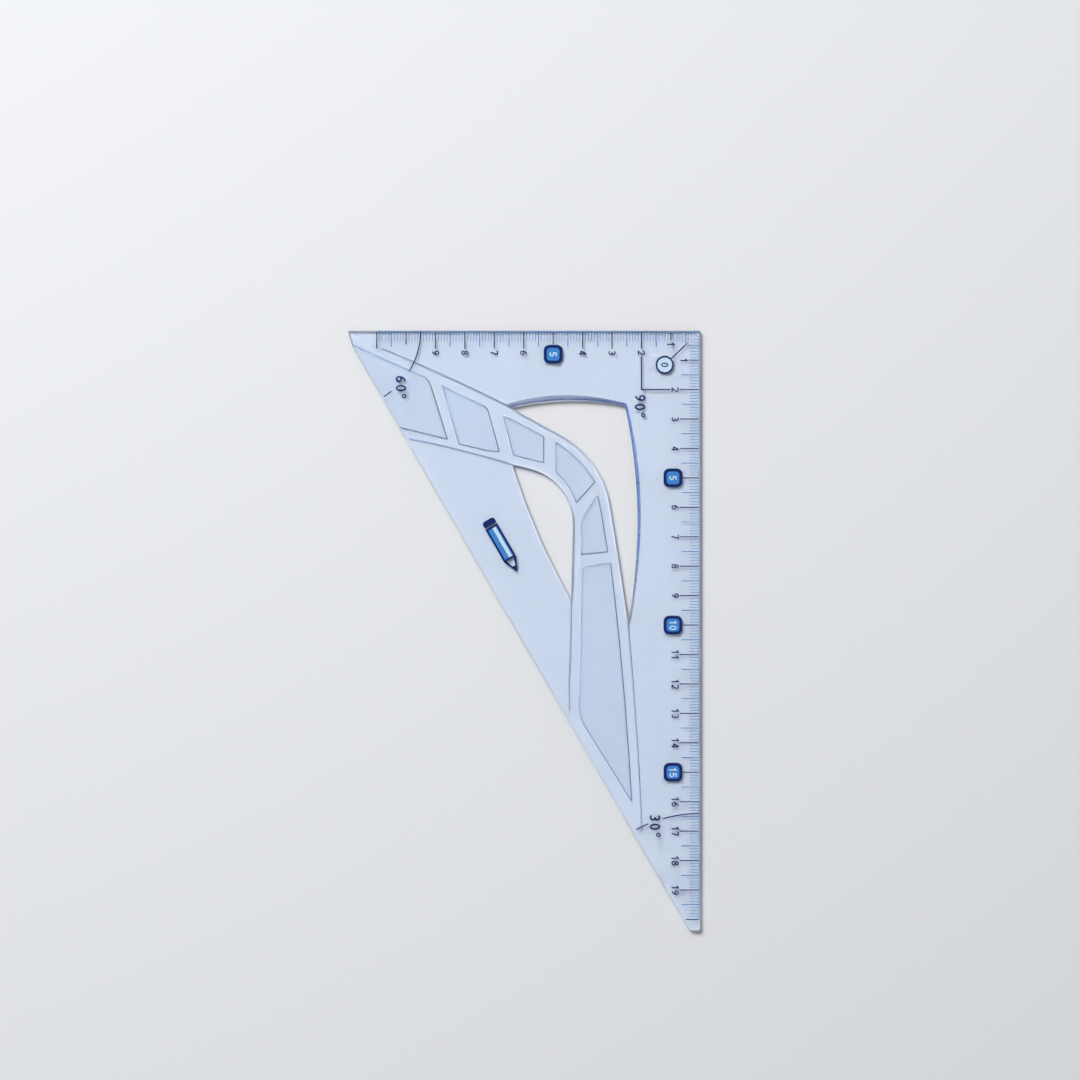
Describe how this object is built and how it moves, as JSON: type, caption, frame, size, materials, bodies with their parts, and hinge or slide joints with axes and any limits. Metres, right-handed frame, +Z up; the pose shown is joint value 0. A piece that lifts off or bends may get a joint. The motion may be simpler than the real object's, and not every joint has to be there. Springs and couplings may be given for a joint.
{
  "type": "set square",
  "caption": "Flat 60/30/90 degree set square in clear blue-tinted plastic, with a ribbed band across its window and printed scales on both legs.",
  "frame": {"origin": "centre of the outline's box, on the face that the square lies on", "axes": "+Z up out of the printed face, +Y along the long leg towards the right angle, +X along the short leg towards the right angle"},
  "size_m": [0.1198, 0.204, 0.0021],
  "materials": {
    "tinted_plastic": "clear with a pale blue tint, polished, with rounded moulded edges",
    "navy_ink": "opaque printed ink, satin",
    "mid_blue_ink": "opaque printed ink, satin",
    "pale_blue_ink": "opaque printed ink, satin"
  },
  "bodies": {
    "root": {"moulded_body": "tinted_plastic", "short_scale_base_line": "mid_blue_ink", "short_scale_mm_lines": "mid_blue_ink", "short_scale_half_lines": "mid_blue_ink", "short_scale_cm_lines": "navy_ink", "short_scale_numerals": "navy_ink", "short_scale_badge_ring": "navy_ink", "short_scale_badge_centre": "mid_blue_ink", "short_scale_badge_numeral": "pale_blue_ink", "long_scale_base_line": "mid_blue_ink", "long_scale_mm_lines": "mid_blue_ink", "long_scale_half_lines": "mid_blue_ink", "long_scale_cm_lines": "navy_ink", "long_scale_numerals": "navy_ink", "long_scale_badge_rings": "navy_ink", "long_scale_badge_centres": "mid_blue_ink", "long_scale_badge_numerals": "pale_blue_ink", "arc_60": "navy_ink", "label_60": "navy_ink", "arc_30": "navy_ink", "label_30": "navy_ink", "right_angle_lines": "navy_ink", "label_90": "navy_ink", "zero_ring": "navy_ink", "zero_disc": "pale_blue_ink", "zero_numeral": "navy_ink", "zero_pointer": "navy_ink", "pencil_outline": "navy_ink", "pencil_body": "mid_blue_ink", "pencil_highlight": "pale_blue_ink"}
  },
  "joints": []
}
